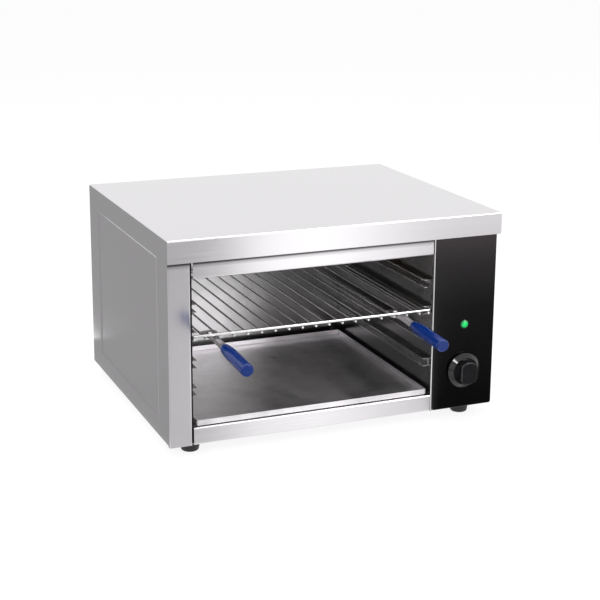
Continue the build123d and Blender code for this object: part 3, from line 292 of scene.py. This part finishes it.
def polished(name, level, rough, tint=0.0, front=None, darkening=None):
    """Bright rolled sheet that has been heated and wiped many times.

    Front is a level painted on the faces at the front, lighter or darker than the rest
    of the sheet as light and shade, and darkening says between which places on x the sheet
    grows darker towards the right.
    """
    f = Finish(name, metallic=1.0)
    drawn = f.noise((240, 7, 240), 3.0, 0.6)
    wiped = f.noise((11, 7, 9), 4.0, 0.6)
    waves = f.noise((5.5, 4.0, 5.5), 1.0)
    heat = f.ramp(f.axis("Z"), (0.22, 0.0), (0.34, 1.0))
    wall = f.colours(f.ramp(wiped, (0.35, 0.0), (0.7, 1.0)),
                     grey(level * 0.90, tint), grey(level, tint))
    wall = f.colours(heat * 0.5, wall, rgb(level * 0.93, level * 0.86, level * 0.75))
    # the sheet grows darker towards the right, between the two places on x
    if darkening:
        clear, full = darkening
        darker_right = f.ramp((f.axis("X") - clear) / (full - clear) + (wiped - 0.5),
                      (0.0, 0.0), (1.0, 1.0))
        wall = f.colours(darker_right, wall, grey(level * 0.36, 0.01))
    # painted light and shade: faces at the front take their own level
    f.set("Base Color", f.colours(f.front(), wall, grey(front)) if front else wall)
    f.set("Roughness", rough + (wiped - 0.45) * 0.16 + (drawn - 0.5) * 0.05)
    f.bump(waves * 0.9 + drawn * 0.1, 0.22, 0.0012)
    return f


def wiped_tray():
    """Bright tray, cloudy from scraping and wiping."""
    f = Finish("tray_sheet", metallic=1.0)
    clouds = f.noise((12, 6, 9), 5.0, 0.62, (0.2, 1.4, 0.0))
    scraped = f.noise((22, 260, 200), 3.0, 0.6)
    smear = f.ramp(clouds * 0.75 + scraped * 0.25, (0.36, 0.0), (0.60, 1.0))
    f.set("Base Color", f.colours(smear, steel(0.70), steel(1.0)))
    f.set("Roughness", 0.27 + smear * 0.16)
    f.bump(clouds * 0.8 + scraped * 0.2, 0.35, 0.0015)
    return f


def galvanised():
    """Zinc-coated sheet with its spangle."""
    f = Finish("zinc_coated_sheet", metallic=1.0)
    cells = f.node("TexVoronoi", {"feature": "F1"}, {"Vector": f.place, "Scale": 90.0},
                   out="Color")
    shade = f.axis("X", cells)
    f.set("Base Color", f.colours(shade, grey(0.46), grey(0.62)))
    f.set("Roughness", 0.38 + shade * 0.16)
    f.bump(shade, 0.04, 0.0003)
    return f


def gloss_enamel():
    """Black panel with a smooth hard coat, a little lighter towards the top."""
    f = Finish("gloss_black_panel", IOR=1.40)
    peel = f.noise((260, 260, 260), 2.0)
    smear = f.noise((14, 14, 10), 4.0, 0.6)
    lighter_upward = f.ramp(f.axis("Z"), (0.20, 0.0), (0.28, 0.25), (0.34, 1.0))
    black = f.colours(smear, rgb(0.0012, 0.0011, 0.0015), rgb(0.0026, 0.0024, 0.0030))
    f.set("Base Color", f.colours(lighter_upward, black, rgb(0.026, 0.020, 0.023)))
    f.set("Roughness", 0.12 + (smear - 0.4) * 0.08)
    f.bump(peel, 0.02, 0.0002)
    return f


def knob_plastic():
    """Glossy black plastic, duller where it is handled."""
    f = Finish("knob_black_plastic", IOR=1.50)
    grain = f.noise((1900, 1900, 1900), 1.0)
    worn = f.noise((60, 60, 60), 3.0)
    f.set("Base Color", f.colours(worn, rgb(0.005, 0.005, 0.006), rgb(0.011, 0.011, 0.012)))
    f.set("Roughness", 0.09 + worn * 0.09)
    f.bump(grain, 0.06, 0.0002)
    return f


def blue_grip():
    """Blue plastic of the grips, with scuffs along it."""
    f = Finish("blue_grip_plastic", Coat_Roughness=0.05, IOR=1.38, Coat_Weight=0.10)
    cloud = f.noise((45, 22, 45), 3.0)
    scuff = f.noise((190, 60, 190), 3.0, 0.65)
    f.set("Base Color", f.colours(cloud, rgb(0.001, 0.014, 0.105), rgb(0.002, 0.024, 0.160)))
    f.set("Roughness", 0.11 + f.ramp(scuff, (0.5, 0.0), (0.75, 1.0)) * 0.22)
    f.bump(scuff * 0.3 + cloud * 0.7, 0.05, 0.0006)
    return f


def bright_rod(name, level, rough):
    """Nickel-chromed rod and wire, faintly drawn along its length."""
    f = Finish(name, metallic=1.0)
    drawn = f.noise((900, 60, 900), 2.0)
    spots = f.noise((150, 150, 150), 3.0)
    f.set("Base Color", f.colours(f.ramp(spots, (0.55, 0.0), (0.75, 1.0)),
                                  grey(level), grey(level * 0.82, 0.03)))
    f.set("Roughness", rough + (drawn - 0.5) * 0.10
          + f.ramp(spots, (0.5, 0.0), (0.8, 1.0)) * 0.15)
    f.bump(drawn, 0.05, 0.0002)
    return f


def element_sheath():
    """Dark oxide on the heaters' sheath, brown in places."""
    f = Finish("heater_sheath", metallic=0.75)
    scale_spots = f.noise((120, 120, 120), 5.0, 0.65)
    long_cloud = f.noise((9, 60, 60), 3.0)
    dark = f.colours(f.ramp(scale_spots, (0.35, 0.0), (0.65, 1.0)),
                     rgb(0.085, 0.078, 0.074), rgb(0.20, 0.185, 0.175))
    f.set("Base Color", f.colours(f.ramp(long_cloud, (0.5, 0.0), (0.75, 1.0)) * 0.5,
                                  dark, rgb(0.17, 0.12, 0.085)))
    f.set("Roughness", 0.46 + (scale_spots - 0.5) * 0.3)
    f.bump(scale_spots, 0.18, 0.0004)
    return f


def rubber():
    """Black rubber of the feet, with some dust."""
    f = Finish("foot_black_rubber")
    grain = f.noise((900, 900, 900), 2.0)
    dust = f.ramp(f.noise((90, 90, 50), 4.0, 0.6), (0.5, 0.0), (0.8, 1.0))
    f.set("Base Color", f.colours(dust * 0.5, rgb(0.005, 0.005, 0.006),
                                  rgb(0.018, 0.017, 0.017)))
    f.set("Roughness", 0.48 + dust * 0.25)
    f.bump(grain, 0.15, 0.0003)
    return f


def moulded(name, colour, rough):
    """Moulded plastic or ceramic with a fine grain."""
    f = Finish(name)
    grain = f.noise((1200, 1200, 1200), 2.0)
    cloud = f.noise((50, 50, 50), 3.0)
    f.set("Base Color", f.colours(cloud, colour, scaled(colour, 1.35)))
    f.set("Roughness", rough + (cloud - 0.5) * 0.16)
    f.bump(grain, 0.12, 0.0002)
    return f


def turned_metal(name, colour, rough=0.28):
    """Metal turned about y, with some tarnish."""
    f = Finish(name, metallic=1.0)
    rings = f.noise((60, 1400, 60), 2.0)
    tarnish = f.noise((70, 70, 70), 4.0, 0.6)
    f.set("Base Color", f.colours(f.ramp(tarnish, (0.45, 0.0), (0.8, 1.0)),
                                  colour, scaled(colour, 0.62)))
    f.set("Roughness", rough + (rings - 0.5) * 0.15 + (tarnish - 0.5) * 0.12)
    f.bump(rings, 0.08, 0.0002)
    return f


def pilot_green():
    """Green plastic lens that glows in the middle and is deeper green towards its rim."""
    f = Finish("pilot_green_lens", Coat_Weight=0.2, Coat_Roughness=0.04, IOR=1.45)
    depth = f.noise((420, 420, 420), 2.0)
    low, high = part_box("pilot_lamp_lens")
    across = (f.axis("X") - (low.x + high.x) / 2) / (high.x - low.x)
    upward = (f.axis("Z") - (low.z + high.z) / 2) / (high.z - low.z)
    middle = f.ramp(across * across + upward * upward, (0.03, 1.0), (0.13, 0.40), (0.21, 0.0))
    f.set("Base Color", f.colours(middle, rgb(0.002, 0.10, 0.03), rgb(0.004, 0.42, 0.10)))
    f.set("Roughness", 0.12 + depth * 0.08)
    f.set("Emission Color", f.colours(middle, rgb(0.0, 0.035, 0.008), rgb(0.004, 0.50, 0.075)))
    f.set("Emission Strength", 0.7)
    f.bump(depth, 0.06, 0.0003)
    return f


def mineral_wool():
    """Straw-coloured matted fibres."""
    f = Finish("mineral_wool")
    fibres = f.noise((900, 240, 900), 5.0, 0.7)
    tufts = f.noise((60, 60, 60), 4.0, 0.6)
    f.set("Base Color", f.colours(f.ramp(fibres, (0.3, 0.0), (0.7, 1.0)),
                                  rgb(0.36, 0.31, 0.19), rgb(0.66, 0.61, 0.45)))
    f.set("Roughness", 0.92 + (tufts - 0.5) * 0.1)
    f.bump(fibres * 0.6 + tufts * 0.4, 0.8, 0.002)
    return f


# By material slot of the record.
finishes = {
    "brushed_stainless": brushed("brushed_stainless", 0.80, 0.24),
    "back_steel": brushed("back_sheet", 0.60, 0.34),
    "galvanised_steel": galvanised(),
    "polished_stainless": polished("polished_stainless", 0.62, 0.24),
    "reflector_steel": polished("reflector_sheet", 0.68, 0.14, 0.01),
    "guide_steel": polished("guide_sheet", 0.66, 0.20),
    "gloss_black": gloss_enamel(),
    "foot_rubber": rubber(),
    "element_sheath": element_sheath(),
    "bright_fasteners": bright_rod("bright_fasteners", 0.70, 0.22),
    "chromed_wire": bright_rod("chromed_wire", 0.78, 0.14),
    "chromed_plate": brushed("handle_plate", 0.94, 0.30, "y"),
    "blue_grip": blue_grip(),
    "brass": turned_metal("brass", rgb(0.78, 0.56, 0.24)),
    "ceramic": moulded("ceramic_bead", rgb(0.70, 0.67, 0.60), 0.32),
    "mineral_wool": mineral_wool(),
    "knob_plastic": knob_plastic(),
    "bright_steel": turned_metal("bright_steel", rgb(0.66, 0.66, 0.67), 0.24),
    "dark_plastic": moulded("dark_plastic", rgb(0.022, 0.022, 0.024), 0.46),
    "green_lens": pilot_green(),
    "copper_tube": turned_metal("copper_tube", rgb(0.80, 0.44, 0.28), 0.30),
}
# By node, for sheets that don't look like the rest of their slot.
own_finishes = {
    # the casing carries painted highlights, a top painted darker and the painted shadow below
    # the lip
    "outer_casing": brushed("casing_sheet", 1.0, 0.18, fold=LIP_EDGE, shade=casing_painted_light),
    # the header carries the painted shadow below the lip
    "front_header": brushed("header_sheet", 0.80, 0.18, shade=painted_lip_shadow),
    # painted shade: the wall's front faces painted near black, as the shadow in the gap between
    # post and header
    "left_cavity_wall": polished("left_wall_sheet", 0.60, 0.24, front=0.04),
    # painted shade: the partition's faces inside the cavity painted dark, its front faces
    # bright
    "control_partition": polished("partition_sheet", 0.26, 0.20, front=0.78),
    "back_cavity_wall": polished("back_wall_sheet", 0.58, 0.22, darkening=(-0.11, 0.02)),
    "crumb_tray": wiped_tray(),
}
for part in frame["record"]["subparts"]:
    node = NODES[part["node"]]
    node.data.materials.clear()
    finish = own_finishes.get(part["node"], finishes[part["material_slot"]])
    node.data.materials.append(finish.material)


# ------------------------------------------------------------ pieces
WOOL_CUTS = 24              # how finely a slab is divided
WOOL_DIP = 0.002            # how far its surface dips between lumps, in metres


def piece(name, mesh, slot, body, *stands_for):
    """A new piece at the origin, with its finish, that rides on its body."""
    data = bpy.data.meshes.new(name)
    bmesh.ops.recalc_face_normals(mesh, faces=mesh.faces)
    for face in mesh.faces:
        face.smooth = True
    mesh.to_mesh(data)
    mesh.free()
    made = bpy.data.objects.new(name, data)
    SCENE.collection.objects.link(made)
    data.materials.append(finishes[slot].material)
    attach(made, body)
    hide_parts(*stands_for)
    return made


def wool_slab(name, node):
    """A slab of mineral wool with a lumpy surface, inside its node's box."""
    low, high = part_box(node)
    middle = (low + high) / 2
    mesh = bmesh.new()
    bmesh.ops.create_cube(mesh, size=1.0)
    bmesh.ops.scale(mesh, vec=high - low, verts=mesh.verts)
    bmesh.ops.translate(mesh, vec=middle, verts=mesh.verts)
    bmesh.ops.subdivide_edges(mesh, edges=mesh.edges, cuts=WOOL_CUTS, use_grid_fill=True)
    for vert in mesh.verts:
        x, y, z = vert.co
        dip = 0.5 + 0.25 * (math.sin(x * 61 + z * 23) + math.sin(y * 53 + z * 71))
        vert.co -= (vert.co - middle).normalized() * WOOL_DIP * dip
    slab = piece(name, mesh, "mineral_wool", "body", node)


wool_slab("top_wool", "top_insulation")
wool_slab("left_wool", "left_insulation")


# ------------------------------------------------------------ room, lamps and camera
CARD_HEIGHT = 0.002         # above the floor, in metres
SIDE_CARD_LEVEL = 0.30
FLOOR_GLOW = 1.06
FLOOR_GLOW_SHARE = 0.80     # how much of the floor that is seen is glow and not paper
FAN_HALF = 0.4              # half the width of the front card's fan, measured on the casing
FAN_STRENGTH = 1.4
FAN_START, FAN_REACH = -0.25, 1.1       # y where the near colours fade, and over how far


def stage_sheet(name, corners, finish, glossy_only=False):
    """A sheet of the stage. Its corners go left to right, the lower or nearer pair first."""
    mesh = bmesh.new()
    bmesh.ops.create_grid(mesh, x_segments=1, y_segments=1, size=0.5)
    for vert, corner in zip(sorted(mesh.verts, key=lambda v: (v.co.y, v.co.x)), corners):
        vert.co = Vector(corner)
    data = bpy.data.meshes.new(name)
    mesh.to_mesh(data)
    mesh.free()
    sheet = bpy.data.objects.new(name, data)
    SCENE.collection.objects.link(sheet)
    data.materials.append(finish.material)
    if glossy_only:
        sheet.visible_camera = False
        sheet.visible_diffuse = False
        sheet.visible_shadow = False
        sheet.visible_transmission = False


def flat(left, right, near, far, height=CARD_HEIGHT):
    """The corners of a level sheet."""
    return [(x, y, height) for y in (near, far) for x in (left, right)]


def floor_finish():
    """Pale paper floor that reads as white to the eye and in metal, and keeps a soft shadow."""
    f = Finish("paper_floor", Roughness=0.9)
    tooth = f.noise((30, 30, 30), 2.0)
    f.set("Base Color", f.colours(tooth, grey(0.86), grey(0.88)))
    seen = f.seen()
    glow = f.node("Emission", None, {"Color": rgb(1, 1, 1), "Strength": FLOOR_GLOW})
    mixed = f.node("MixShader", None, {0: seen * FLOOR_GLOW_SHARE,
                                       1: Value(f, f.surface.outputs[0]), 2: glow})
    f.feed(f.output.inputs["Surface"], mixed)
    return f


def card_finish(name, strength=1.0):
    """Reflector card that is only seen in metal and gloss."""
    return Finish(name, Roughness=1.0, Base_Color=rgb(0, 0, 0), Emission_Strength=strength)


def side_card(name):
    """Grey cloth card."""
    f = card_finish(name)
    cloth = f.noise((6, 6, 6), 2.0)
    f.set("Emission Color", f.colours(cloth, grey(SIDE_CARD_LEVEL * 0.96),
                                      grey(SIDE_CARD_LEVEL * 1.04)))
    return f


def front_card():
    """Soft bright fan on the floor in front, dark near the object on the right.

    The fan's rays start at the camera's place as the casing's front mirrors it, so that each
    ray of the fan is an upright stripe in the steel.
    """
    f = card_finish("front_card", FAN_STRENGTH)
    x, y = f.axis("X"), f.axis("Y")
    front = CASING_LOW.y
    mirrored_eye = 2 * front - EYE.y
    across = (x - EYE.x) / (mirrored_eye - y) * (mirrored_eye - front) + EYE.x
    share = (across + FAN_HALF) / (2 * FAN_HALF)
    far = f.ramp(share, (0.0, 0.28), (0.235, 0.28), (0.30, 0.86), (0.45, 1.0), (0.56, 0.82),
                 (0.70, 0.58), (1.0, 0.58))
    near = f.ramp(share, (0.0, 0.36), (0.20, 0.42), (0.31, 0.70), (0.45, 0.80), (0.62, 0.60),
                  (0.71, 0.52), (0.735, 0.01), (1.0, 0.01))
    away = f.ramp((FAN_START - y) / FAN_REACH, (0.0, 0.0), (0.5, 0.22), (1.0, 1.0))
    f.set("Emission Color", f.colours(away, near, far))
    return f


stage_sheet("front_card", flat(-3.0, 4.5, -5.0, -0.2), front_card(), glossy_only=True)
stage_sheet("left_card", flat(-5.0, -0.31, -0.15, 0.5), side_card("left_card"),
            glossy_only=True)
stage_sheet("left_far_card", flat(-5.0, -0.36, 0.5, 6.0), side_card("left_far_card"),
            glossy_only=True)
stage_sheet("back_left_card", [(-4.0, 3.2, 0.0), (-0.8, 3.2, 0.0), (-4.0, 3.2, 0.95),
                               (-0.8, 3.2, 0.95)], side_card("back_left_card"),
            glossy_only=True)
stage_sheet("floor", flat(-14, 14, -14, 14, 0), floor_finish())


def lamp(name, place, target, size, power):
    """A white rectangular softbox that points at its target, in metres and watts."""
    data = bpy.data.lights.new(name, "AREA")
    data.shape = "RECTANGLE"
    data.size, data.size_y = size
    data.energy = power
    made = bpy.data.objects.new(name, data)
    made.location = place
    made.rotation_euler = (Vector(target) - Vector(place)).to_track_quat("-Z", "Y").to_euler()
    SCENE.collection.objects.link(made)


lamp("overhead_softbox", (0.0, 0.4, 2.6), (0, 0.1, 0.3), (2.6, 2.2), 46)
lamp("front_right_softbox", (1.5, -2.3, 1.5), (0, 0, 0.2), (1.1, 1.5), 30)
lamp("left_fill", (-2.4, -1.2, 1.4), (0, 0, 0.2), (1.2, 1.2), 12)
lamp("upper_left_softbox", (-1.05, -1.75, 1.75), (0.1, -0.1, 0.15), (0.34, 0.34), 9)

world = bpy.data.worlds.new("studio")
world.use_nodes = True
SCENE.world = world
sky = Nodes(world.node_tree)
lighting = sky.node("Background", None, {"Color": rgb(0.80, 0.80, 0.81), "Strength": 0.90})
white = sky.node("Background", None, {"Color": rgb(1, 1, 1), "Strength": 1.0})
either = sky.node("MixShader", None, {0: sky.seen(), 1: lighting, 2: white})
sky.node("OutputWorld", None, {"Surface": either}, out=None)

# The camera that was fitted to the photograph: millimetres, rows of 600, and degrees.
SENSOR, LENS, SHIFT_ROWS, ROWS = 36.0, 85.41, -50.0, 600.0
PITCH, AZIMUTH, ROLL = math.radians(14.06), math.radians(22.70), math.radians(0.41)
camera_data = bpy.data.cameras.new("camera")
camera_data.sensor_width = SENSOR
camera_data.lens = LENS
camera_data.shift_y = SHIFT_ROWS / ROWS
camera = bpy.data.objects.new("camera", camera_data)
SCENE.collection.objects.link(camera)
look = Vector((math.sin(AZIMUTH) * math.cos(PITCH), math.cos(AZIMUTH) * math.cos(PITCH),
               -math.sin(PITCH)))
turn = look.to_track_quat("-Z", "Y").to_matrix().to_4x4() @ Matrix.Rotation(ROLL, 4, "Z")
camera.matrix_world = Matrix.Translation(EYE) @ turn
SCENE.camera = camera
SCENE.view_settings.view_transform = "Standard"
